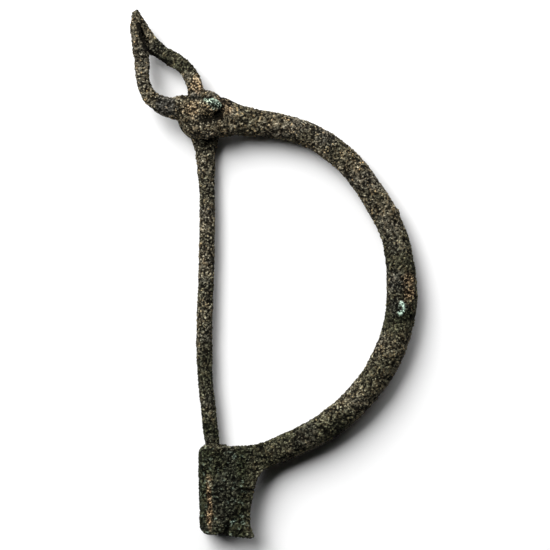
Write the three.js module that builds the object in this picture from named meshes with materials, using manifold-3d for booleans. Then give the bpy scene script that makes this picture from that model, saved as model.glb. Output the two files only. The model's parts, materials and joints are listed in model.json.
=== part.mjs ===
// A bronze fibula brooch, lying on its side. Millimetres, +Z up, +Y along the pin towards the head,
// the origin on the ground in the middle of the brooch. Three pieces: the bow, cast in one with the
// head disc, the wire loop and the folded catch; the pin with its flat eye; and the rivet it turns on.
import * as THREE from "three";
import { mergeVertices } from "three/addons/utils/BufferGeometryUtils.js";
import Module from "manifold-3d";

// Driving dimensions.
const BOW_DEPTH = 5.1; // the thickest part of the bow, measured off the ground
const HEAD = new THREE.Vector2(-11.9, 27.1); // middle of the head disc
const HEAD_RADIUS = 4.15;
const HEAD_UNDERSIDE = 2.95; // the disc is the upper half of a lap joint
const HEAD_TOP = 5.3;
const RIVET = new THREE.Vector2(-11.06, 28.14); // the pin turns about this point
const RIVET_RADIUS = 0.9;
const RIVET_PLAY = 0.22; // room round the shank in the pin and in the disc
const RIVET_FOOT = { radius: 2.1, thickness: 0.4 };
const RIVET_LUMP = { length: 3.7, breadth: 2.7, height: 1.15, turn: 0.35, tilt: 0.16 };
// The pin's flat end.
const EYE = { centre: new THREE.Vector2(-12.25, 26.94), radius: 4.3, underside: 0.45, top: 2.75 };
const LAP_PLAY = 0.4; // room round the eye where the bow is cut away for it
const CATCH = { left: -12.85, top: -29.3, bottom: -44.3, corner: 0.9 };
const FOLD_EDGE = -7.65; // where the fold's free edge ends
const FOLD_CREST = 4.95;
const SHEET_TOP = 4.45; // the flat part of the foot, between the fold and the bow
const CHANNEL = { floor: 0.9, roof: 3.45, wall: 0.85, right: -4.05 }; // the room for the pin
const SHEET_CORNER = new THREE.Vector2(-3.3, -44.55); // the sharp lower corner of the sheet
const SEAT = 0.05; // gap between faces that rest on each other

const BRONZE = { color: 0x4a4536, roughness: 0.82, metalness: 0.35 };
const PIN_BRONZE = { color: 0x504a3b, roughness: 0.8, metalness: 0.35 };
const RIVET_GREEN = { color: 0x7d9483, roughness: 0.85, metalness: 0.1 };

// A value that changes along a rod: stops are [share of the length, value], eased between stops.
function along(...stops) {
  return (share) => {
    const next = stops.findIndex(([at]) => at >= share);
    if (next === 0) return stops[0][1];
    if (next < 0) return stops[stops.length - 1][1];
    const [from, before] = stops[next - 1];
    const [to, after] = stops[next];
    return before + (after - before) * THREE.MathUtils.smoothstep(share, from, to);
  };
}

// A round-ended rod bent along a path, with its own breadth (across, level) and depth (up) everywhere.
function rod(points, breadth, depth, { sides = 14, steps = 40, capSteps = 3 } = {}) {
  const stations = points.map(([x, y, z]) => new THREE.Vector3(x, y, z));
  const path = new THREE.CatmullRomCurve3(stations, false, "centripetal");
  path.arcLengthDivisions = 400;
  const body = new THREE.CapsuleGeometry(1, 1, capSteps, sides, steps);
  const position = body.attributes.position;
  const up = new THREE.Vector3(0, 0, 1);
  const vertex = new THREE.Vector3();
  for (let i = 0; i < position.count; i++) {
    vertex.fromBufferAttribute(position, i);
    const onBody = THREE.MathUtils.clamp(vertex.y, -0.5, 0.5);
    const share = onBody + 0.5;
    const forward = path.getTangentAt(share);
    const side = new THREE.Vector3().crossVectors(forward, up).normalize();
    const place = path.getPointAt(share);
    place.addScaledVector(forward, ((vertex.y - onBody) * Math.min(breadth(share), depth(share))) / 2);
    place.addScaledVector(side, (vertex.x * breadth(share)) / 2);
    place.addScaledVector(up, (vertex.z * depth(share)) / 2);
    position.setXYZ(i, place.x, place.y, place.z);
  }
  return body;
}

// A flat round plate with a rounded upper rim.
function plate(centre, radius, underside, top, rim, segments = 32) {
  const profile = [
    [0, underside],
    [radius - rim / 3, underside],
    [radius, underside + rim / 3],
    [radius, top - rim],
    [radius - rim * 0.3, top - rim * 0.35],
    [radius - rim, top - rim * 0.08],
    [0, top],
  ].map(([r, z]) => new THREE.Vector2(r, z));
  return new THREE.LatheGeometry(profile, segments).rotateX(Math.PI / 2).translate(centre.x, centre.y, 0);
}

// A level prism between two heights.
function slab(shape, low, high, curveSegments = 8) {
  const settings = { depth: high - low, bevelEnabled: false, curveSegments };
  return new THREE.ExtrudeGeometry(shape, settings).translate(0, 0, low);
}

// A prism along Y, from a section drawn in X and Z.
function beam(section, south, north, curveSegments = 8) {
  const settings = { depth: north - south, bevelEnabled: false, curveSegments };
  return new THREE.ExtrudeGeometry(section, settings).rotateX(Math.PI / 2).translate(0, north, 0);
}

const wasm = await Module();
wasm.setup();

// A three.js body as a solid that can be joined and cut.
function solid(geometry) {
  const bare = geometry.clone();
  bare.deleteAttribute("normal");
  bare.deleteAttribute("uv");
  const merged = mergeVertices(bare, 1e-4);
  return new wasm.Manifold(
    new wasm.Mesh({
      numProp: 3,
      vertProperties: new Float32Array(merged.attributes.position.array),
      triVerts: new Uint32Array(merged.index.array),
    }),
  );
}

const join = (...parts) => parts.reduce((all, part) => all.add(part));
const cut = (body, ...tools) => tools.reduce((left, tool) => left.subtract(tool), body);

// A finished solid as a named three.js mesh.
function mesh(name, body, finish) {
  const made = body.getMesh();
  const geometry = new THREE.BufferGeometry();
  geometry.setAttribute("position", new THREE.BufferAttribute(new Float32Array(made.vertProperties), 3));
  geometry.setIndex(new THREE.BufferAttribute(new Uint32Array(made.triVerts), 1));
  geometry.computeVertexNormals();
  const result = new THREE.Mesh(geometry, new THREE.MeshStandardMaterial(finish));
  result.name = name;
  return result;
}

// Everything below the ground plane.
function ground() {
  return solid(new THREE.BoxGeometry(120, 120, 5).translate(0, 0, -2.5));
}

// The hole for the rivet, through everything.
function rivetHole() {
  const radius = RIVET_RADIUS + RIVET_PLAY;
  const drill = new THREE.CylinderGeometry(radius, radius, 12, 20).rotateX(Math.PI / 2);
  return solid(drill.translate(RIVET.x, RIVET.y, 3));
}

// The bow proper, from inside the head disc round to the foot.
function bowRod() {
  const level = BOW_DEPTH / 2;
  const disc = (HEAD_UNDERSIDE + HEAD_TOP) / 2;
  const points = [
    [HEAD.x, HEAD.y, disc],
    [-8.6, 26.6, 3.5],
    [-5.0, 26.05, level],
    [1.07, 25.2, level],
    [6.87, 23.27, level],
    [13.05, 18.6, level],
    [18.75, 10.4, level],
    [20.9, 5.17, level],
    [21.85, -4.3, level],
    [20.5, -11.3, level],
    [17.0, -18.2, level],
    [9.95, -25.3, level],
    [2.0, -29.55, level],
    [-2.4, -31.3, level],
    [-6.0, -32.6, CHANNEL.roof],
  ];
  const breadth = along(
    [0, 7.6], [0.03, 6.9], [0.07, 5.1], [0.12, 4.3], [0.2, 4.2], [0.3, 4.35], [0.44, 4.45],
    [0.54, 5.2], [0.63, 5.05], [0.81, 4.75], [0.9, 4.35], [0.96, 4.3], [1, 3.2],
  );
  const depth = along(
    [0, HEAD_TOP - HEAD_UNDERSIDE], [0.03, 3.2], [0.07, 4.3], [0.12, 4.5], [0.4, 4.8], [0.55, BOW_DEPTH],
    [0.8, 4.8], [0.95, 4.3], [1, 2.4],
  );
  return solid(rod(points, breadth, depth, { sides: 16, steps: 84 }));
}

// The loop's two wires. They meet in one pointed tip, the left wire above the right.
function loopWires() {
  const left = [
    [-23.4, 44.25, 3.5],
    [-23.5, 42.4, 3.75],
    [-23.2, 39.6, 3.85],
    [-22.6, 36.8, 3.9],
    [-22.45, 34.4, 3.95],
    [-21.95, 31.8, 4.0],
    [-20.9, 29.95, 4.05],
    [-19.35, 28.85, 4.1],
    [-17.3, 28.15, 4.1],
    [-15.4, 28.3, 4.1],
    [HEAD.x - 1, 28.2, 4.1],
  ];
  const right = [
    [-23.35, 44.15, 3.1],
    [-22.0, 41.3, 2.2],
    [-20.35, 38.8, 2.0],
    [-18.2, 37.1, 2.2],
    [-15.85, 35.75, 2.6],
    [-14.25, 33.95, 3.1],
    [-13.55, 32.2, 3.6],
    [-13.0, 30.3, 3.9],
    [HEAD.x, 28.4, 4.0],
  ];
  const leftBreadth = along(
    [0, 1.35], [0.12, 1.95], [0.3, 2.3], [0.55, 2.3], [0.66, 2.6], [0.78, 3.4], [0.87, 4.2], [1, 4.2],
  );
  const leftDepth = along([0, 1.4], [0.2, 2.1], [0.7, 2.2], [1, 2.3]);
  const rightBreadth = along(
    [0, 1.2], [0.12, 1.9], [0.3, 2.65], [0.45, 2.65], [0.62, 2.5], [0.8, 2.8], [1, 3.4],
  );
  const rightDepth = along([0, 1.3], [0.15, 1.9], [0.6, 2.2], [1, 2.3]);
  return join(
    solid(rod(left, leftBreadth, leftDepth, { sides: 12, steps: 34 })),
    solid(rod(right, rightBreadth, rightDepth, { sides: 12, steps: 34 })),
  );
}

// The level outline of the folded half of the catch, with rounded corners.
function foldOutline() {
  const { left, top, bottom, corner } = CATCH;
  const shape = new THREE.Shape();
  shape.moveTo(left + 0.05, top - 1.5 * corner);
  shape.quadraticCurveTo(left + 0.3, top, left + 1.5 * corner, top);
  shape.lineTo(FOLD_EDGE, top);
  shape.lineTo(FOLD_EDGE, bottom + 2 * corner);
  shape.quadraticCurveTo(FOLD_EDGE - 0.1, bottom, FOLD_EDGE - 1.7, bottom);
  shape.lineTo(left + 1.8 * corner, bottom + 0.1);
  shape.quadraticCurveTo(left + 0.4, bottom + 0.3, left + 0.3, bottom + 1.8 * corner);
  shape.bezierCurveTo(left + 0.25, bottom + 6, left, top - 5, left, top - 3.2);
  return shape;
}

// The fold's section: a flat underside, a round outer side and a crest that falls towards its edge.
function foldSection() {
  const { left } = CATCH;
  const middle = FOLD_CREST / 2;
  const shape = new THREE.Shape();
  shape.moveTo(FOLD_EDGE, 0);
  shape.lineTo(FOLD_EDGE, SHEET_TOP + 0.15);
  shape.quadraticCurveTo(left + 3, FOLD_CREST - 0.1, left + 1.6, FOLD_CREST);
  shape.bezierCurveTo(left + 0.4, FOLD_CREST, left, middle + 1.2, left, middle);
  shape.bezierCurveTo(left, 0.9, left + 0.3, 0, left + 1.3, 0);
  return shape;
}

// The flat sheet between the fold and the bow, down to its sharp lower corner.
function sheetOutline() {
  const { top, bottom } = CATCH;
  const shape = new THREE.Shape();
  shape.moveTo(FOLD_EDGE - 1.5, top);
  shape.lineTo(-5.2, top);
  shape.quadraticCurveTo(-3.6, top + 0.1, -1.9, -28.7);
  shape.lineTo(-0.6, -32.6);
  shape.quadraticCurveTo(-2.9, -33.8, -3.4, -36.9);
  shape.quadraticCurveTo(-4.2, -40, -4.05, -42.3);
  shape.quadraticCurveTo(-3.9, -43.4, SHEET_CORNER.x, SHEET_CORNER.y);
  shape.quadraticCurveTo(-3.5, -45.05, -4.4, -44.95);
  shape.quadraticCurveTo(-6, -44.7, FOLD_EDGE - 1.5, bottom);
  return shape;
}

// The room that the pin lies in, closed at the fold and open underneath beside it.
function channelSection() {
  const { floor, roof, wall, right } = CHANNEL;
  const left = CATCH.left + wall;
  const middle = (floor + roof) / 2;
  const shape = new THREE.Shape();
  shape.moveTo(FOLD_EDGE - 0.4, -1);
  shape.lineTo(right, -1);
  shape.lineTo(right, roof);
  shape.lineTo(left + 0.9, roof);
  shape.quadraticCurveTo(left, roof, left, middle);
  shape.quadraticCurveTo(left, floor, left + 0.9, floor);
  shape.lineTo(FOLD_EDGE - 0.4, floor);
  return shape;
}

// The crack that runs into the sheet from its right edge.
function crack() {
  const shape = new THREE.Shape();
  shape.moveTo(-2.5, -36.95);
  shape.quadraticCurveTo(-4.4, -36.75, -5.9, -36.5);
  shape.quadraticCurveTo(-4.4, -36.6, -2.5, -36.55);
  return solid(slab(shape, SHEET_TOP - 0.55, SHEET_TOP + 1));
}

// The folded catch and, apart from it, the room to be cut out of it.
function catchPlate() {
  const { top, bottom } = CATCH;
  const fold = solid(beam(foldSection(), bottom - 1, top + 1)).intersect(solid(slab(foldOutline(), -1, 8)));
  const sheet = solid(slab(sheetOutline(), CHANNEL.roof, SHEET_TOP));
  const channel = solid(beam(channelSection(), bottom - 2, top + 0.4));
  return { body: join(fold, sheet), channel };
}

// The one casting: the bow, the head disc over the pin's eye, the loop and the catch.
function bow() {
  const { body: catchBody, channel } = catchPlate();
  const disc = solid(plate(HEAD, HEAD_RADIUS, HEAD_UNDERSIDE, HEAD_TOP, 0.9));
  const lapRadius = EYE.radius + LAP_PLAY;
  const lap = solid(
    new THREE.CylinderGeometry(lapRadius, lapRadius, 5, 36)
      .rotateX(Math.PI / 2)
      .translate(EYE.centre.x, EYE.centre.y, HEAD_UNDERSIDE - 2.5),
  );
  const cast = join(bowRod(), disc, loopWires(), catchBody);
  return cut(cast, lap, rivetHole(), channel, crack(), ground());
}

// The pin: a slightly bowed rod from the eye to its thin end in the catch.
function pin() {
  const eyeLevel = (EYE.underside + EYE.top) / 2;
  const inCatch = (CHANNEL.floor + CHANNEL.roof) / 2;
  const points = [
    [-12.0, 25.6, eyeLevel],
    [-11.75, 22.6, eyeLevel],
    [-11.65, 19, 1.7],
    [-11.4, 11.7, 1.8],
    [-11.5, 2.7, 1.9],
    [-11.9, -11.3, 2.0],
    [-11.7, -18.2, 2.1],
    [-11.0, -24.6, inCatch],
    [-10.5, -29.4, inCatch],
    [-10.25, -34.4, inCatch],
    [-10.2, -40.4, inCatch],
  ];
  const breadth = along(
    [0, 6.4], [0.04, 4.9], [0.07, 3.5], [0.11, 3.1], [0.17, 2.6], [0.3, 2.7], [0.5, 2.7],
    [0.6, 2.75], [0.66, 2.5], [0.8, 2.6], [0.84, 2.4], [1, 0.9],
  );
  const depth = along([0, 2.2], [0.1, 2.5], [0.7, 2.5], [0.82, 2.15], [1, 0.8]);
  const shank = solid(rod(points, breadth, depth, { sides: 14, steps: 56 }));
  const eye = solid(plate(EYE.centre, EYE.radius, EYE.underside, EYE.top, 0.5));
  return cut(join(shank, eye), rivetHole());
}

// The rivet: a flat foot, a shank, and a lumpy head that leans to one side.
function rivet() {
  const top = HEAD_TOP + SEAT;
  const { radius, thickness } = RIVET_FOOT;
  const foot = new THREE.CylinderGeometry(radius, radius - 0.15, thickness, 24)
    .rotateX(Math.PI / 2)
    .translate(RIVET.x, RIVET.y, thickness / 2);
  const inLump = top + 0.3;
  const inFoot = thickness / 2;
  const shank = new THREE.CylinderGeometry(RIVET_RADIUS, RIVET_RADIUS, inLump - inFoot, 20)
    .rotateX(Math.PI / 2)
    .translate(RIVET.x, RIVET.y, (inLump + inFoot) / 2);
  const lump = new THREE.SphereGeometry(1, 20, 12)
    .scale(RIVET_LUMP.length / 2, RIVET_LUMP.breadth / 2, RIVET_LUMP.height)
    .rotateY(-RIVET_LUMP.tilt)
    .rotateZ(RIVET_LUMP.turn)
    .translate(RIVET.x + 0.1, RIVET.y + 0.1, top + 0.1);
  const below = new THREE.BoxGeometry(10, 10, 4).translate(RIVET.x, RIVET.y, top - 2);
  return join(cut(solid(lump), solid(below)), solid(shank), solid(foot));
}

const brooch = new THREE.Group();
brooch.add(mesh("bow", bow(), BRONZE));
brooch.add(mesh("pin", pin(), PIN_BRONZE));
brooch.add(mesh("rivet", rivet(), RIVET_GREEN));

export default brooch;
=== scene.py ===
# %% [markdown]
# # A corroded bronze brooch
# The brooch is a fibula: a D-shaped bow cast in bronze, a pin that turns on a rivet, and a catch
# beaten out of the foot of the bow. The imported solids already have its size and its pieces, so this
# lesson keeps them as the frame and gives each one a skin: the swellings, pits and grains of old
# bronze as real relief, and then the colours of its patina.

# %% Load the frame
import json
import math

import bmesh
import bpy
import numpy as np
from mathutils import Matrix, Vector, noise


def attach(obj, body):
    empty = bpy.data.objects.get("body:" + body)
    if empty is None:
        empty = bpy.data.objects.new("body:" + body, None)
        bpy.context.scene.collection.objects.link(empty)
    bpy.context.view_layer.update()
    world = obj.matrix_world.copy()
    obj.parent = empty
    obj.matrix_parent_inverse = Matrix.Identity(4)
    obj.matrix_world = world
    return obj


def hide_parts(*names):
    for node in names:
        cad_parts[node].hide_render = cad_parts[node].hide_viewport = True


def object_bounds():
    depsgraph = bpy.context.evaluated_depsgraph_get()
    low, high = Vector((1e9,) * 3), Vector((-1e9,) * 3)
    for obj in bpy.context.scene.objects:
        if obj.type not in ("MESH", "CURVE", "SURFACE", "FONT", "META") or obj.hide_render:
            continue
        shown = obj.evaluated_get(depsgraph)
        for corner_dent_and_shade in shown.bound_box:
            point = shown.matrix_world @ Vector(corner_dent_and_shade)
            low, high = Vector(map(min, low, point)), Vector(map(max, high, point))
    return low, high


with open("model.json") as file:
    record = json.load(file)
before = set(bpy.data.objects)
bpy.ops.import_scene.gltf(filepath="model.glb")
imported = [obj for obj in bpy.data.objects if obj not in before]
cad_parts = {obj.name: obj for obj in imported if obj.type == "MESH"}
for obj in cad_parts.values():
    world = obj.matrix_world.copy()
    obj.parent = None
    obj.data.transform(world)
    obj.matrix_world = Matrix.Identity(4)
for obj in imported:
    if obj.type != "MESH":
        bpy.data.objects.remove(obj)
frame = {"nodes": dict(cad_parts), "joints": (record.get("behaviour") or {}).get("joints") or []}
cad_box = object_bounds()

MM = 0.001  # the frame is in metres, and relief is easier to think about in millimetres
low, high = cad_box
size = high - low
print("brooch, mm:", [round(side / MM, 2) for side in size])

# %% [markdown]
# ## Where things are
# Every place used below hangs on a few spots of the brooch itself. The joint in the record gives the
# rivet, about which the pin turns. The foot is the low end of the bow, and the fold is the side of the
# foot's sheet that was turned back to hold the pin. All of them are in millimetres.

# %% Name the places on the brooch
hinge = frame["joints"][0]
RIVET = Vector(hinge["pos_m"]) / MM
HEAD = RIVET + Vector((-0.84, -1.04, 2.6))  # middle of the head disc
FOOT_TOP = -29.3  # upper edge of the sheet
FOLD_LEFT = -12.85  # outer side of the fold
FOLD_EDGE = FOLD_LEFT + 5.2  # where the rounded corner of the fold ends
FOLD_END = -44.3  # lower edge of the sheet
print("rivet at", [round(c, 2) for c in RIVET], "head disc at", [round(c, 2) for c in HEAD])

# %% [markdown]
# ## Camera
# The brooch lies on a white table and the camera looks straight down at it. A long lens far away
# leaves the rods parallel, so nothing leans outwards and the thickness of the bow doesn't hide its
# inner edge. The distance follows from the share of the picture that the brooch should fill.

# %% Camera
VIEW_FILL = 0.957  # share of the picture's height that the brooch takes up
MIDDLE_HEIGHT = 0.0025  # the rods' outlines lie about this high
LENS = 135.0
FILM_WIDTH = 36.0
SIDEWAYS = 0.0002  # the brooch lies this far off the middle of the picture
camera_data = bpy.data.cameras.new("camera")
camera_data.lens = LENS
camera_data.sensor_width = FILM_WIDTH
camera_data.clip_start = 0.01
camera_data.clip_end = 10.0
camera = bpy.data.objects.new("camera", camera_data)
view_width = size.y / VIEW_FILL
distance = view_width * LENS / FILM_WIDTH
camera.location = (SIDEWAYS, -SIDEWAYS, MIDDLE_HEIGHT + distance)
bpy.context.scene.collection.objects.link(camera)
bpy.context.scene.camera = camera
print("view is", round(view_width / MM, 1), "mm wide from", round(distance, 3), "m")

# %% [markdown]
# ## Floor
# White paper throws soft light back up into the rods' sides, as a table would. It has no shine of its
# own, so the only thing that it shows is the shadow of the brooch.

# %% Floor
PAPER_WHITE = 0.92
floor_shape = bmesh.new()
bmesh.ops.create_grid(floor_shape, x_segments=1, y_segments=1, size=1.5)
floor_mesh = bpy.data.meshes.new("floor")
floor_shape.to_mesh(floor_mesh)
floor_shape.free()
floor = bpy.data.objects.new("floor", floor_mesh)
bpy.context.scene.collection.objects.link(floor)
paper = bpy.data.materials.new("white paper")
paper.use_nodes = True
paper_shader = paper.node_tree.nodes["Principled BSDF"]
paper_shader.inputs["Base Color"].default_value = (PAPER_WHITE, PAPER_WHITE, PAPER_WHITE, 1)
paper_shader.inputs["Roughness"].default_value = 0.9
paper_shader.inputs["Specular IOR Level"].default_value = 0.0
floor_mesh.materials.append(paper)
print("floor of", paper.name)

# %% [markdown]
# ## Lamps
# One large soft lamp stands beyond the head and a little to the left. It lights the upper side of
# every rod and leaves a deep shadow with a soft edge below it. A second one, lower and weaker,
# softens the far side. Square lamps are used because a size and a place say all about their shadow.

# %% Lamps
LAMP_DISTANCE = 0.8


def soft_lamp(name, turn, rise, wide, tall, watts):
    """A big square lamp: turn is its angle round from +X and rise its height above the table."""
    data = bpy.data.lights.new(name, "AREA")
    data.shape = "RECTANGLE"
    data.size = wide
    data.size_y = tall
    data.energy = watts
    lamp = bpy.data.objects.new(name, data)
    turn = math.radians(turn)
    rise = math.radians(rise)
    level = math.cos(rise)
    towards = Vector((level * math.cos(turn), level * math.sin(turn), math.sin(rise)))
    lamp.location = towards * LAMP_DISTANCE
    lamp.rotation_euler = towards.to_track_quat("Z", "Y").to_euler()
    lamp.visible_camera = False
    bpy.context.scene.collection.objects.link(lamp)
    print(name, "of", watts, "W")


soft_lamp("key lamp", turn=133, rise=42, wide=0.58, tall=0.58, watts=11.0)
soft_lamp("far lamp", turn=88, rise=27, wide=1.2, tall=0.7, watts=6.5)

# %% [markdown]
# ## The room
# A trace of light from all round keeps the deepest hollows from going quite black. The camera sees a
# pale wall instead of that dark room, so the background stays light from a low angle too.

# %% Room
ROOM_LIGHT = 0.006
WALL = 0.9
world = bpy.data.worlds.new("studio")
bpy.context.scene.world = world
world.use_nodes = True
world_nodes = world.node_tree.nodes
sky = world_nodes["Background"]
sky.inputs["Color"].default_value = (1, 1, 1, 1)
sky.inputs["Strength"].default_value = ROOM_LIGHT
seen_sky = world_nodes.new("ShaderNodeBackground")
seen_sky.inputs["Color"].default_value = (WALL, WALL, WALL, 1)
light_path = world_nodes.new("ShaderNodeLightPath")
choose = world_nodes.new("ShaderNodeMixShader")
links = world.node_tree.links
links.new(light_path.outputs["Is Camera Ray"], choose.inputs["Fac"])
links.new(sky.outputs["Background"], choose.inputs[1])
links.new(seen_sky.outputs["Background"], choose.inputs[2])
links.new(choose.outputs["Shader"], world_nodes["World Output"].inputs["Surface"])
bpy.context.scene.view_settings.view_transform = "Standard"
print("room light", ROOM_LIGHT)

# %% [markdown]
# ## An even skin
# The solids are made of long thin triangles, which can't hold fine relief. A copy of each one is
# merged, remeshed into even little squares and smoothed a few times, so that the facets go and the
# form stays. Sculptors' programs start the same way, with a voxel remesh of a rough block.

# %% Make an even skin over a node
def even_skin(node, piece_name, square, smoothing):
    """A copy of a CAD node as even squares of this many millimetres, as an object in millimetres."""
    shape = bmesh.new()
    shape.from_mesh(frame["nodes"][node].data)
    bmesh.ops.remove_doubles(shape, verts=shape.verts, dist=1e-7)
    bmesh.ops.scale(shape, vec=(1 / MM,) * 3, verts=shape.verts)
    mesh = bpy.data.meshes.new(piece_name)
    shape.to_mesh(mesh)
    shape.free()
    piece = bpy.data.objects.new(piece_name, mesh)
    bpy.context.scene.collection.objects.link(piece)
    remesh = piece.modifiers.new("even squares", "REMESH")
    remesh.mode = "VOXEL"
    remesh.voxel_size = square
    soften = piece.modifiers.new("soften", "SMOOTH")
    soften.iterations = smoothing
    seen = piece.evaluated_get(bpy.context.evaluated_depsgraph_get())
    skin = bpy.data.meshes.new_from_object(seen)
    piece.modifiers.clear()
    piece.data = skin
    skin.name = piece_name
    print(piece_name, "has", len(skin.vertices), "points and", len(skin.polygons), "faces")
    return piece


# %% [markdown]
# ## Masks
# A mask is a number from 0 to 1 that says how much of something a point has. Three kinds are enough
# here: a soft step, a round spot with a ragged rim, and a thin line such as a crack or a scratch.
# Each one is a plain formula of the place, so it costs no painting and every run gives the same one.

# %% Masks
def ease(low_edge, high_edge, value):
    """0 before one edge, 1 past the other, and smooth between them."""
    share = min(max((value - low_edge) / (high_edge - low_edge), 0.0), 1.0)
    return share * share * (3 - 2 * share)


def spot(point, centre, reach):
    """1 at a place and 0 beyond its reach, with a ragged rim."""
    ragged = 1 + 0.45 * noise.noise(point * 1.7) + 0.25 * noise.noise(point * 4.1)
    return 1 - ease(0.45, 1.0, (point - Vector(centre)).length / (reach * ragged))


def from_line(point, start, way):
    """How far a point is, seen from above, from a line that starts at a place and goes this way."""
    share = min(max((point.xy - start).dot(way) / way.length_squared, 0.0), 1.0)
    return (point.xy - start - way * share).length


def thread(point, start, end, width, above=2.6):
    """1 on a thin line between two places on the upper side, and 0 beside it."""
    start = Vector(start)
    away = from_line(point, start, Vector(end) - start) + 0.12 * abs(noise.noise(point * 2.3))
    return (1 - ease(0.5 * width, width, away)) * ease(above, above + 0.8, point.z)


print("halfway up a soft step:", ease(0.0, 1.0, 0.5))

# %% [markdown]
# ## What corrosion does to the surface
# Buried bronze swells in some places and is eaten away in others. Three layers of relief copy that:
# slow swellings a few millimetres wide, a crust of grains about half a millimetre across, and a few
# deep pits. Noise from Blender's own library gives all three. The grains are cells: each is highest
# in its middle and falls towards the border with the next one.

# %% Layers of relief
FAR = Vector((17.3, -5.1, 9.2))  # shifts a pattern so that two layers don't repeat each other


def grains(point, width):
    """Height of a crust of rounded grains, from about -1 to 1."""
    nearest, second = noise.voronoi(point / width)[0][:2]
    return 1.0 - 2.0 * nearest + 0.5 * (second - nearest)


def pits(place):
    """1 in a few small pits that lie about one unit apart."""
    return 1 - ease(0.1, 0.2, noise.voronoi(place)[0][0])


def swellings(place, levels=3):
    """A slow pattern, from about -1 to 1, of waves one unit long with finer ones on them."""
    return noise.fractal(place, 1.0, 2.0, levels)


print("grain at the rivet:", round(grains(RIVET, 0.55), 3))

# %% [markdown]
# ## Working over a skin
# A smith works over a surface blow by blow, and this does the same point by point. A relief function
# is given a place and the way that the surface faces there. It answers with how far to push it out,
# and with marks that the material reads later: height, ochre, smooth and green, and how worn it is,
# which on the bow also holds painted shade.

# %% Work over a skin point by point
def work_over(piece, relief):
    """Moves each point out by relief(point, normal) and keeps the marks that it gives."""
    mesh = piece.data
    count = len(mesh.vertices)
    places = np.empty(count * 3)
    mesh.vertices.foreach_get("co", places)
    places = places.reshape(-1, 3)
    normals = np.array([v.normal[:] for v in mesh.vertices])
    marks = np.zeros((count, 4), np.float32)
    wear_and_shade = np.zeros(count, np.float32)
    moves = np.zeros(count)
    for index in range(count):
        moves[index], marks[index], wear_and_shade[index] = relief(Vector(places[index]), normals[index])
    places = (places + normals * moves[:, None]) * MM
    mesh.vertices.foreach_set("co", places.ravel())
    kept = mesh.color_attributes.new("marks", "FLOAT_COLOR", "POINT")
    kept.data.foreach_set("color", marks.ravel())
    mesh.attributes.new("wear_and_shade", "FLOAT", "POINT").data.foreach_set("value", wear_and_shade)
    mesh.shade_smooth()
    mesh.update()
    print(piece.name, "moves from", round(moves.min(), 3), "to", round(moves.max(), 3), "mm")
    return piece


# %% [markdown]
# ## Keeping a skin light
# The bow is long, so its even squares come to more triangles than a piece may have. The flattest ones
# are merged until it is light enough, which leaves the grains as they are.

# %% Lighten a piece
def lighten(piece, most_triangles):
    """Merges the flattest triangles until the piece has no more than this many."""
    mesh = piece.data
    mesh.calc_loop_triangles()
    now = len(mesh.loop_triangles)
    if now > most_triangles:
        fewer = piece.modifiers.new("fewer triangles", "DECIMATE")
        fewer.ratio = most_triangles / now
        seen = piece.evaluated_get(bpy.context.evaluated_depsgraph_get())
        light_mesh = bpy.data.meshes.new_from_object(seen)
        piece.modifiers.clear()
        piece.data = light_mesh
        light_mesh.name = piece.name
        light_mesh.shade_smooth()
    piece.data.calc_loop_triangles()
    print(piece.name, "goes from", now, "to", len(piece.data.loop_triangles), "triangles")


# %% [markdown]
# ## The bow: patches
# One casting makes the bow, the head disc, the loop of two wires and the folded catch. Soil and wear
# have treated it unevenly. Some places were rubbed or cleaned down to a smooth dark grey, and some
# have kept an ochre crust of earth and tin corrosion. Each patch is a place, a reach and a strength.

# %% Patches on the bow
SMOOTH_SPOTS = (
    ((-18.3, 28.6, 5.0), 2.6, 0.95),
    ((-13.4, 30.3, 5.2), 1.3, 0.8),
    ((21.0, -1.4, 5.0), 2.6, 0.7),
    ((20.9, -5.6, 4.8), 2.2, 0.6),
    ((9.0, 23.6, 4.6), 2.8, 0.6),
    ((4.5, 26.0, 4.6), 2.4, 0.5),
)
OCHRE_SPOTS = (
    ((22.9, -1.0, 4.4), 1.7, 0.7),
    ((22.8, -3.4, 4.4), 1.6, 0.8),
    ((-13.8, 27.9, 5.2), 2.0, 0.5),
    ((-13.0, 32.0, 5.0), 1.8, 0.6),
    ((-8.2, 28.5, 5.2), 2.0, 0.5),
)


def patches(point, places):
    return max(amount * spot(point, centre, reach) for centre, reach, amount in places)


print(len(SMOOTH_SPOTS), "smooth patches and", len(OCHRE_SPOTS), "ochre ones")

# %% [markdown]
# ## The bow: the folded sheet
# The foot was hammered out into a sheet and its side was turned over the pin. The crest of the fold
# stands proud, so an ochre crust has stayed in a line along it. At the lower corner the metal of the
# sheet pulled in as it was bent, which left a hollow round the corner; its dark line is painted shade.

# %% Crest and corner of the fold
CREST_IN = 1.95  # from the outer side of the fold to its crest
CORNER_ROUND = 1.9


def fold_corner_dent_and_shade(point):
    """The hollow round the lower corner of the folded sheet, darkened as painted shade."""
    middle = Vector((FOLD_EDGE - CORNER_ROUND, FOLD_END + CORNER_ROUND))
    away = abs((point.xy - middle).length - CORNER_ROUND)
    lower_shade = ease(FOLD_END + 2.6, FOLD_END + 1.2, point.y)
    outer = ease(FOLD_EDGE - 2.4, FOLD_EDGE - 1.4, point.x)
    return lower_shade * outer * (1 - ease(0.1, 0.4, away)) * ease(3.8, 4.2, point.z)


def fold_crest(point):
    """The ochre crust along the top of the fold."""
    wander = 0.4 * noise.noise(point / 1.1)
    across = 1 - ease(0.12, 0.65, abs(point.x - FOLD_LEFT - CREST_IN - wander))
    along = 1 - ease(3.4, 5.4, abs(point.y + 38.9))
    return across * along * ease(4.0, 4.6, point.z)


def sheet(point):
    """1 on the sheet of the foot and 0 on the rod."""
    return ease(-3.0, -5.5, point.x) * ease(FOOT_TOP + 1.0, FOOT_TOP - 1.0, point.y)


print("the crest runs along x =", round(FOLD_LEFT + CREST_IN, 2))

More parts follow.
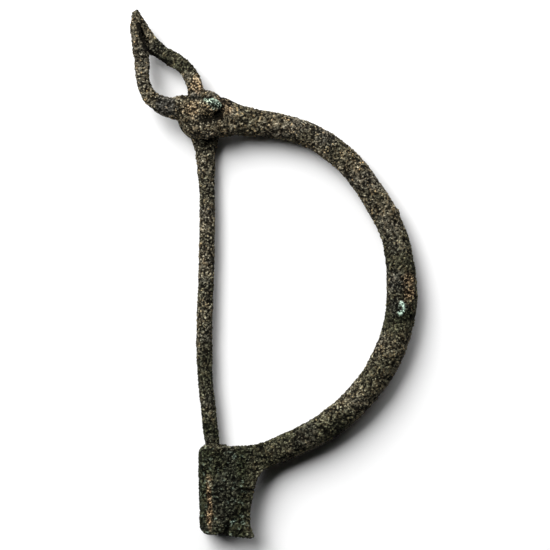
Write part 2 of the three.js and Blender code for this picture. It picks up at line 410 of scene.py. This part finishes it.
# %% [markdown]
# ## The bow: green crust
# Copper that leaves the bronze comes back to the surface as malachite, a pale green crust. It grows
# round a pit, so the one on the outer side of the bow is a crescent about a small hollow. The sheet
# has only a few faint specks and one small lump of it.

# %% Green crust on the bow
GREEN_X = 21.5
GREEN_Y = -5.8
GREEN_WIDE = 0.85
GREEN_TALL = 1.45


def malachite(point):
    """A bright crescent of green crust round a small hollow, on the outer side of the bow."""
    across = (point.x - GREEN_X) / GREEN_WIDE
    along = (point.y - GREEN_Y) / GREEN_TALL
    ring = abs(math.hypot(across, along) - 0.62 + 0.14 * noise.noise(point * 2.6))
    open_left = ease(-0.7, 0.1, across - 0.35 * along)
    return (1 - ease(0.12, 0.4, ring)) * open_left * ease(2.5, 3.5, point.z)


def green_specks(point):
    """Faint green on the sheet of the foot."""
    upper = ease(4.0, 4.3, point.z)
    specks = 0.25 * sheet(point) * ease(0.32, 0.5, noise.noise(point / 0.6 + FAR)) * upper
    return max(specks, 0.8 * spot(point, (-6.9, -42.0, 4.4), 0.6))


print("green crust at", (GREEN_X, GREEN_Y))

# %% [markdown]
# ## The bow: room for the pin
# The pin and the rivet pass within a quarter of a millimetre of the bow. Nothing may swell on the
# faces beside them, or the pin would cut into the crust as it turns.

# %% Faces that stay clear
def near_pin(point):
    """1 on the faces that the pin and the rivet pass close to."""
    flat = point.xy
    under = (1 - ease(4.8, 5.6, (flat - HEAD.xy).length)) * (1 - ease(3.0, 3.4, point.z))
    shank = (1 - ease(1.5, 2.1, (flat - RIVET.xy).length)) * (1 - ease(4.9, 5.3, point.z))
    below_top = ease(FOOT_TOP + 1.0, FOOT_TOP + 0.4, point.y)
    past_wall = ease(FOLD_LEFT + 0.35, FOLD_LEFT + 0.75, point.x) * (1 - ease(-6.6, -5.8, point.x))
    between = ease(0.35, 0.7, point.z) * (1 - ease(3.4, 3.9, point.z))
    return max(under, shank, below_top * past_wall * between)


print("clear at the rivet:", near_pin(RIVET))

# %% [markdown]
# ## The bow: small swellings
# A web of metal fills the narrow end of the loop, where its two wires run together. The wires are a
# little fuller lower down, and a small bump stands on the outer side of the bow.

# %% Small swellings
WEB_TOP = Vector((-22.1, 39.4))
WEB_WAY = Vector((0.8, -1.6))
SIDE_BUMPS = (  # place, full within, gone beyond, height in millimetres
    ((-16.6, 37.9), 0.8, 2.0, 0.22),
    ((-21.4, 35.8), 0.8, 2.0, 0.22),
    ((21.2, 10.7), 0.2, 0.9, 0.3),
)


def added_metal(point, normal):
    """How far the web and the bumps push a face out, in millimetres."""
    side = 1 - abs(normal[2])
    web = 1 - ease(0.45, 1.0, from_line(point, WEB_TOP, WEB_WAY))
    outward = max(normal[0], 0.0)
    bumps = 0.0
    for place, full, gone, rise in SIDE_BUMPS:
        bumps = bumps + rise * (1 - ease(full, gone, (point.xy - Vector(place)).length))
    return 0.42 * web * side + outward * bumps


print(len(SIDE_BUMPS), "bumps and one web")

# %% [markdown]
# ## The bow: lines, grooves and painted shade
# A crack crosses the sheet with a low ledge under it. A pale scratch and a thin golden thread of
# crust lie on the bow. Two grooves run down between the wires of the loop and are darkened as painted
# shade, and a painted shadow lies on the disc at the lower right of the rivet's head.

# %% Lines, grooves and painted shade
def loop_groove_and_shade(point):
    """The groove between the wires, and its branch under the right one, darkened as painted shade."""
    groove = thread(point, (-23.0, 42.4), (-21.6, 38.0), 0.5)
    return max(groove, thread(point, (-21.5, 38.0), (-18.7, 36.0), 0.55, above=1.2))


def rivet_painted_shadow(point):
    """Painted shadow of the rivet's head, on the disc at its lower right."""
    from_rivet = point.xy - RIVET.xy
    below = ease(0.0, 0.7, from_rivet.normalized().dot(Vector((0.6, -0.8))))
    far = from_rivet.length
    return below * ease(1.5, 1.9, far) * (1 - ease(2.3, 2.9, far)) * ease(3.4, 4.2, point.z)


def bow_lines(point):
    """The golden thread, the scratch, the crack and the ledge under it."""
    hair = thread(point, (22.4, -4.5), (23.9, -6.5), 0.17)
    scratch = thread(point, (20.1, 0.3), (20.6, -0.8), 0.15)
    crack = thread(point, (-5.8, -36.5), (-3.2, -36.75), 0.22)
    ledge = thread(point, (-5.6, -37.4), (-4.2, -37.4), 0.7)
    return hair, scratch, crack, ledge


print("lines at the rivet:", bow_lines(RIVET))

# %% [markdown]
# ## The bow: wear and painted shade
# Handling has rubbed the arch, the head and the loop paler, and the sheet is the darkest of all. The
# lower part of the bow and the upper end of the right wire of the loop are darkened as painted shade.
# The mark is a slow pattern with those differences taken off it.

# %% Wear and painted shade of the bow
def bow_wear_and_shade(point):
    # painted shade: the lower part of the bow is darker, with a lighter band lower down on the right
    lower_shade = 0.54 * ease(12.0, 2.0, point.y)
    lower_shade = lower_shade - 0.35 * ease(-8.0, -13.0, point.y) * ease(-27.0, -21.0, point.y)
    # painted shade on the upper end of the right wire of the loop, which lies under the left one
    shaded_thin_wire = 0.5 * ease(-21.0, -19.5, point.x) * ease(33.6, 35.0, point.y)
    slow = 0.35 * swellings(point / 5.0 + FAR, 2)
    return 0.95 + slow - max(0.9 * sheet(point), lower_shade, shaded_thin_wire)


print("wear of the head disc:", round(bow_wear_and_shade(HEAD), 2))

# %% [markdown]
# ## The bow: all of it together
# The relief adds the layers up. Smooth patches have less of the grain, and the clear faces have none.
# The height that the material gets is not the same as the move: it says how proud a grain is of its
# neighbours, which decides whether it was rubbed pale or is darkened as painted shade in a hollow.

# %% Relief of the bow
def bow_relief(point, normal):
    grain = grains(point, 0.55)
    fine = noise.noise(point / 0.26)
    crust = ease(0.02, 0.3, swellings(point / 1.5 + FAR))
    pit = pits(point / 2.3 + FAR)
    smooth = max(patches(point, SMOOTH_SPOTS), 0.4 * ease(0.1, 0.35, noise.noise(point / 4.5 + FAR)))
    rough = 1 - 0.6 * smooth
    crest = fold_crest(point)
    # a dent round the fold's lower corner, with painted shade along it
    corner_dent_and_shade = fold_corner_dent_and_shade(point)
    bright = malachite(point)
    # painted shade in the groove between the wires and under the right one; the groove is also dented in
    loop_groove_shade = loop_groove_and_shade(point)
    # the rivet head's painted shadow on the disc, with a slight dent under it
    rivet_shadow = rivet_painted_shadow(point)
    hair, scratch, crack, ledge = bow_lines(point)
    ochre = max(patches(point, OCHRE_SPOTS), 0.9 * crest, 0.8 * hair)
    green = max(bright, green_specks(point))

    move = 0.08 * swellings(point / 3.2) + rough * (0.11 * grain + 0.08 * fine + 0.06 * crust - 0.15 * pit)
    move = move - 0.22 * corner_dent_and_shade + 0.05 * crest - 0.2 * crack + 0.1 * ledge + 0.06 * bright
    move = move + added_metal(point, normal)
    close = near_pin(point)
    move = move * (1 - close) - 0.03 * close
    move = move - 0.14 * loop_groove_shade - 0.06 * rivet_shadow

    height = 0.45 + (0.4 * grain + 0.3 * fine) * rough + 0.2 * crust - 0.6 * pit - corner_dent_and_shade
    height = height - 1.2 * crack + 0.7 * scratch - 1.1 * loop_groove_shade - 0.9 * rivet_shadow + 0.5 * bright
    wear_and_shade = bow_wear_and_shade(point) + 0.6 * crest + 0.5 * scratch + 0.5 * bright
    return move, (height, ochre, smooth, green), wear_and_shade


MOST_TRIANGLES = 190000
bow = even_skin("bow", "bow_casting", square=0.12, smoothing=8)
work_over(bow, bow_relief)
lighten(bow, MOST_TRIANGLES)

# %% [markdown]
# ## The pin
# A rod forged from a thin bar, with its end flattened and pierced for the rivet. It is worked over
# more finely because it is thinner, and not at all where it lies in the catch or under the head.
# Its lower end was out of reach of the hand and is less worn.

# %% Skin of the pin
def pin_relief(point, normal):
    grain = grains(point + FAR, 0.46)
    fine = noise.noise(point / 0.24)
    pit = pits(point / 1.9)
    from_head = (point.xy - HEAD.xy).length
    free = ease(1.0, 2.5, from_head - 4.0) * ease(FOOT_TOP - 0.6, FOOT_TOP + 0.4, point.y)
    swelling = swellings(point / 2.6 + FAR)
    relief = 0.07 * swelling + 0.09 * grain + 0.07 * fine - 0.12 * pit
    move = relief * free - 0.04 * (1 - free)
    grey = ease(0.0, 0.4, swellings(point / 3.0, 2))
    height = 0.45 + 0.4 * grain + 0.3 * fine - 0.6 * pit
    wear_and_shade = 0.85 + 0.4 * swellings(point / 4.0, 2) - 0.45 * ease(5.0, -28.0, point.y)
    return move, (height, 0.0, 0.4 * grey, 0.0), wear_and_shade


pin = even_skin("pin", "forged_pin", square=0.11, smoothing=8)
work_over(pin, pin_relief)

# %% [markdown]
# ## The rivet
# Its head was hammered down by hand over the disc, which left it lumpy. The ridge along its upper
# right side has corroded into pale green. Only the head is worked over, since the rest is hidden.

# %% Skin of the rivet
RIDGE_SIDE = Vector((0.45, 0.89, 0.0))


def rivet_relief(point, normal):
    swelling = swellings(point)
    grain = grains(point, 0.42)
    proud = ease(5.3, 5.6, point.z)
    ridge = proud * ease(0.2, 0.9, (point - RIVET).dot(RIDGE_SIDE))
    move = proud * (0.2 * swelling + 0.09 * grain) + 0.15 * ridge
    green = max(0.7 * ridge, 0.5 * proud * ease(0.1, 0.4, noise.noise(point / 0.8 + FAR)))
    height = 0.45 + 0.4 * grain + 0.3 * swelling
    return move, (height, 0.35 * proud, 0.0, green), 0.8


rivet = even_skin("rivet", "rivet_lump", square=0.08, smoothing=4)
work_over(rivet, rivet_relief)

# %% [markdown]
# ## Node helpers
# A material is a tree of nodes. These small functions add a node and feed its sockets in one line
# each, so that the recipe of the patina below reads like a recipe.

# %% Add and feed a node
def put(tree, kind, **settings):
    node = tree.nodes.new(kind)
    for name, value in settings.items():
        setattr(node, name, value)
    return node


def feed(tree, socket, value):
    """Links a socket to another, or sets it to a plain value."""
    if isinstance(value, bpy.types.NodeSocket):
        tree.links.new(value, socket)
    else:
        socket.default_value = value


def noise_at(tree, vector, per_mm, detail, roughness):
    node = put(tree, "ShaderNodeTexNoise")
    feed(tree, node.inputs["Vector"], vector)
    node.inputs["Scale"].default_value = per_mm / MM
    node.inputs["Detail"].default_value = detail
    node.inputs["Roughness"].default_value = roughness
    return node.outputs["Fac"]


print("one grain per millimetre is a scale of", 1 / MM)

# %% [markdown]
# ## Mixing helpers
# Most of the recipe is masks and mixes. One helper turns a range of values into a mask, one mixes two
# colours by it, and one does a sum.

# %% Spread, mix and reckon
RANGE_SOCKETS = ("From Min", "From Max", "To Min", "To Max")
COLOUR_A, COLOUR_B, COLOUR_OUT = 6, 7, 2  # the Mix node keeps sockets for other kinds before these


def spread(tree, value, start, end, low_out=0.0, high_out=1.0):
    node = put(tree, "ShaderNodeMapRange", interpolation_type="SMOOTHSTEP")
    feed(tree, node.inputs["Value"], value)
    for name, number in zip(RANGE_SOCKETS, (start, end, low_out, high_out)):
        feed(tree, node.inputs[name], number)
    return node.outputs["Result"]


def blend_colour(tree, share, first, second, how="MIX"):
    node = put(tree, "ShaderNodeMix", data_type="RGBA", blend_type=how)
    feed(tree, node.inputs["Factor"], share)
    feed(tree, node.inputs[COLOUR_A], first)
    feed(tree, node.inputs[COLOUR_B], second)
    return node.outputs[COLOUR_OUT]


def reckon(tree, how, first, second):
    node = put(tree, "ShaderNodeMath", operation=how)
    feed(tree, node.inputs[0], first)
    feed(tree, node.inputs[1], second)
    return node.outputs[0]


print("a range has", len(RANGE_SOCKETS), "ends")

# %% [markdown]
# ## The patina, as a group
# All three pieces have the same patina in other strengths, so its recipe is a group that is built
# once. It takes the colours and the marks of a piece, and gives a colour, a roughness and a relief.

# %% Open the group
PATINA = bpy.data.node_groups.new("old bronze patina", "ShaderNodeTree")
PATINA_INPUTS = (
    ("Ground", "NodeSocketColor", (0.03, 0.026, 0.016, 1)),
    ("Grain", "NodeSocketColor", (0.22, 0.19, 0.14, 1)),
    ("Height", "NodeSocketFloat", 0.5),
    ("Ochre", "NodeSocketFloat", 0.0),
    ("Smooth", "NodeSocketFloat", 0.0),
    ("Green", "NodeSocketFloat", 0.0),
    ("Wear_and_shade", "NodeSocketFloat", 0.6),
)
PATINA_OUTPUTS = (
    ("Color", "NodeSocketColor"),
    ("Roughness", "NodeSocketFloat"),
    ("Relief", "NodeSocketFloat"),
)
for label, kind, value in PATINA_INPUTS:
    PATINA.interface.new_socket(name=label, in_out="INPUT", socket_type=kind).default_value = value
for label, kind in PATINA_OUTPUTS:
    PATINA.interface.new_socket(name=label, in_out="OUTPUT", socket_type=kind)
given = put(PATINA, "NodeGroupInput").outputs
result = put(PATINA, "NodeGroupOutput").inputs
print(PATINA.name, "takes", len(PATINA_INPUTS), "things and gives", len(PATINA_OUTPUTS))

# %% [markdown]
# ## The finest grain
# Grains smaller than a third of a millimetre would need too many triangles, so the material adds
# them. Cells on a slightly bent space give round grains that don't line up, and noise gives the grit
# between them. Both are summed with the height mark, so fine grain and real relief agree.

# %% Sand and grit
BEND_PER_MM = 2.0
BEND_BY = 0.5 * MM
SAND_PER_MM = 2.4
MEAN_HEIGHT = 1.53  # taken off, so that the height is about 0 in the middle, from -0.6 to 0.6
place = put(PATINA, "ShaderNodeTexCoord").outputs["Object"]
bend = put(PATINA, "ShaderNodeTexNoise")
bend.inputs["Scale"].default_value = BEND_PER_MM / MM
bend.inputs["Detail"].default_value = 1.0
feed(PATINA, bend.inputs["Vector"], place)
shift = put(PATINA, "ShaderNodeVectorMath", operation="MULTIPLY_ADD")
feed(PATINA, shift.inputs[0], bend.outputs["Color"])
shift.inputs[1].default_value = (BEND_BY,) * 3
feed(PATINA, shift.inputs[2], place)
sand = put(PATINA, "ShaderNodeTexVoronoi")
sand.inputs["Scale"].default_value = SAND_PER_MM / MM
feed(PATINA, sand.inputs["Vector"], shift.outputs["Vector"])
tones = put(PATINA, "ShaderNodeSeparateColor")
feed(PATINA, tones.inputs["Color"], sand.outputs["Color"])
dome = spread(PATINA, sand.outputs["Distance"], 0.1, 0.6, 1.0, 0.0)
grit = noise_at(PATINA, place, 2.0, 3.0, 0.7)
coarse = noise_at(PATINA, place, 0.5, 2.0, 0.6)
dome_part = reckon(PATINA, "MULTIPLY", dome, 0.5)
relief = reckon(PATINA, "ADD", dome_part, reckon(PATINA, "MULTIPLY", grit, 1.6))
height = reckon(PATINA, "ADD", relief, reckon(PATINA, "MULTIPLY", given["Height"], 0.5))
height = reckon(PATINA, "ADD", height, reckon(PATINA, "MULTIPLY", coarse, 0.5))
height = reckon(PATINA, "SUBTRACT", height, MEAN_HEIGHT)
print("sand of", SAND_PER_MM, "grains a millimetre")

# %% [markdown]
# ## Bronze colours
# The ground is a dark brown where the metal is worn and a darker olive where it isn't; on the bow the
# same mark also holds painted shade. Some grains are rusty, and the proud ones are rubbed to a pale
# stone colour or a golden one. Every cell has a random tone of its own, which decides how pale that
# grain may get.

# %% Ground and grains
OLIVE_GROUND = (0.040, 0.045, 0.024, 1)
OLIVE_GRAIN = (0.22, 0.245, 0.14, 1)
RUST = (0.11, 0.07, 0.03, 1)
GOLD = (0.40, 0.28, 0.14, 1)
wear_and_shade = given["Wear_and_shade"]
tone = tones.outputs["Red"]
ground = blend_colour(PATINA, wear_and_shade, OLIVE_GROUND, given["Ground"])
rusty = spread(PATINA, wear_and_shade, 0.0, 1.0, 0.15, 0.45)
rust = reckon(PATINA, "MULTIPLY", spread(PATINA, tones.outputs["Green"], 0.5, 1.0), rusty)
ground = blend_colour(PATINA, rust, ground, RUST)
golden = spread(PATINA, tones.outputs["Blue"], 0.5, 0.95)
golden = blend_colour(PATINA, golden, given["Grain"], GOLD)
pale = blend_colour(PATINA, wear_and_shade, OLIVE_GRAIN, golden)
proud_tone = spread(PATINA, tone, 0.35, 1.0)
share = reckon(PATINA, "MULTIPLY", proud_tone, spread(PATINA, height, -0.2, 0.35))
share = reckon(PATINA, "MULTIPLY", share, spread(PATINA, wear_and_shade, -0.2, 1.1, 0.4, 1.0))
colour = blend_colour(PATINA, share, ground, pale)
print("ground from", OLIVE_GROUND[:3], "up")

# %% [markdown]
# ## Crusts over it
# Three things lie over the bronze where the marks say so: the smooth grey of rubbed places, the ochre
# crust, which is brown in its hollows and cream on top, and the green crust.

# %% Grey, ochre and green
GREY = ((0.03, 0.032, 0.032, 1), (0.10, 0.10, 0.095, 1))
OCHRE = ((0.085, 0.050, 0.024, 1), (0.52, 0.37, 0.21, 1))
GREEN = ((0.08, 0.14, 0.10, 1), (0.56, 0.72, 0.60, 1))
grey = blend_colour(PATINA, spread(PATINA, height, -0.4, 0.6), *GREY)
colour = blend_colour(PATINA, reckon(PATINA, "MULTIPLY", given["Smooth"], 0.7), colour, grey)
cream_tone = spread(PATINA, tone, 0.0, 0.7, 0.3, 1.0)
cream = reckon(PATINA, "MULTIPLY", spread(PATINA, height, -0.3, 0.4), cream_tone)
earth = blend_colour(PATINA, cream, *OCHRE)
colour = blend_colour(PATINA, reckon(PATINA, "MULTIPLY", given["Ochre"], 0.9), colour, earth)
green_crust = blend_colour(PATINA, spread(PATINA, height, -0.3, 0.4), *GREEN)
colour = blend_colour(PATINA, given["Green"], colour, green_crust)
print("three crusts over the bronze")

# %% [markdown]
# ## Painted shade in the hollows
# Last, everything is darkened in the hollows as painted shade, and lightened where it is worn. That
# contrast does most of the work in making old bronze look rough.

# %% Painted shade in the hollows
# painted shade: darker where the height is low, and lighter where the wear mark is high
hollow_shade_and_wear = spread(PATINA, height, -0.38, 0.30, 0.06, 1.25)
hollow_shade_and_wear = reckon(PATINA, "MULTIPLY", hollow_shade_and_wear, spread(PATINA, wear_and_shade, 0.0, 1.0, 1.0, 2.0))
hollow_shade_and_wear_colour = put(PATINA, "ShaderNodeCombineColor")
for name in ("Red", "Green", "Blue"):
    feed(PATINA, hollow_shade_and_wear_colour.inputs[name], hollow_shade_and_wear)
colour = blend_colour(PATINA, 1.0, colour, hollow_shade_and_wear_colour.outputs["Color"], "MULTIPLY")
feed(PATINA, result["Color"], colour)
feed(PATINA, result["Roughness"], spread(PATINA, grit, 0.3, 0.7, 0.9, 0.7))
feed(PATINA, result["Relief"], relief)
print(PATINA.name, "has", len(PATINA.nodes), "nodes")

# %% [markdown]
# ## A material for each piece
# Each piece is dressed in the group with its own ground and grain colours: the pin is a little paler
# than the bow, and the rivet paler again. Corroded bronze has lost its shine, so the specular level
# is nearly nothing and the light is all in the colour and the bumps.

# %% Make a material
DULL = 0.05


def patina(name, ground, grain, depth):
    """A patina with these colours and bumps this many millimetres deep."""
    material = bpy.data.materials.new(name)
    material.use_nodes = True
    tree = material.node_tree
    shader = tree.nodes["Principled BSDF"]
    shader.inputs["Specular IOR Level"].default_value = DULL
    marks = put(tree, "ShaderNodeAttribute", attribute_name="marks")
    parts = put(tree, "ShaderNodeSeparateColor")
    feed(tree, parts.inputs["Color"], marks.outputs["Color"])
    group = put(tree, "ShaderNodeGroup", node_tree=PATINA)
    group.inputs["Ground"].default_value = ground
    group.inputs["Grain"].default_value = grain
    feed(tree, group.inputs["Height"], parts.outputs["Red"])
    feed(tree, group.inputs["Ochre"], parts.outputs["Green"])
    feed(tree, group.inputs["Smooth"], parts.outputs["Blue"])
    feed(tree, group.inputs["Green"], marks.outputs["Alpha"])
    # the wear mark, which on the bow also holds painted shade
    wear_and_shade_mark = put(tree, "ShaderNodeAttribute", attribute_name="wear_and_shade")
    feed(tree, group.inputs["Wear_and_shade"], wear_and_shade_mark.outputs["Fac"])
    bump = put(tree, "ShaderNodeBump")
    bump.inputs["Strength"].default_value = 1.0
    bump.inputs["Distance"].default_value = depth * MM
    feed(tree, bump.inputs["Height"], group.outputs["Relief"])
    feed(tree, shader.inputs["Base Color"], group.outputs["Color"])
    feed(tree, shader.inputs["Roughness"], group.outputs["Roughness"])
    feed(tree, shader.inputs["Normal"], bump.outputs["Normal"])
    print(name, "is ready")
    return material


bow_bronze = patina("bronze", (0.092, 0.081, 0.055, 1), (0.31, 0.275, 0.20, 1), 0.55)
pin_bronze = patina("pin bronze", (0.105, 0.094, 0.066, 1), (0.33, 0.30, 0.22, 1), 0.55)
rivet_bronze = patina("rivet bronze", (0.085, 0.08, 0.055, 1), (0.42, 0.39, 0.30, 1), 0.5)

# %% [markdown]
# ## Dress the pieces
# Each skin takes the place of the solid that it was made from. It rides on that solid's body, so the
# pin's skin turns with the pin, and the rivet stays with the bow.

# %% Dress each piece
def dress(piece, material, body, node):
    piece.data.materials.clear()
    piece.data.materials.append(material)
    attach(piece, body)
    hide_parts(node)
    print(piece.name, "rides on", body)


dress(bow, bow_bronze, "bow", "bow")
dress(pin, pin_bronze, "pin", "pin")
dress(rivet, rivet_bronze, "bow", "rivet")
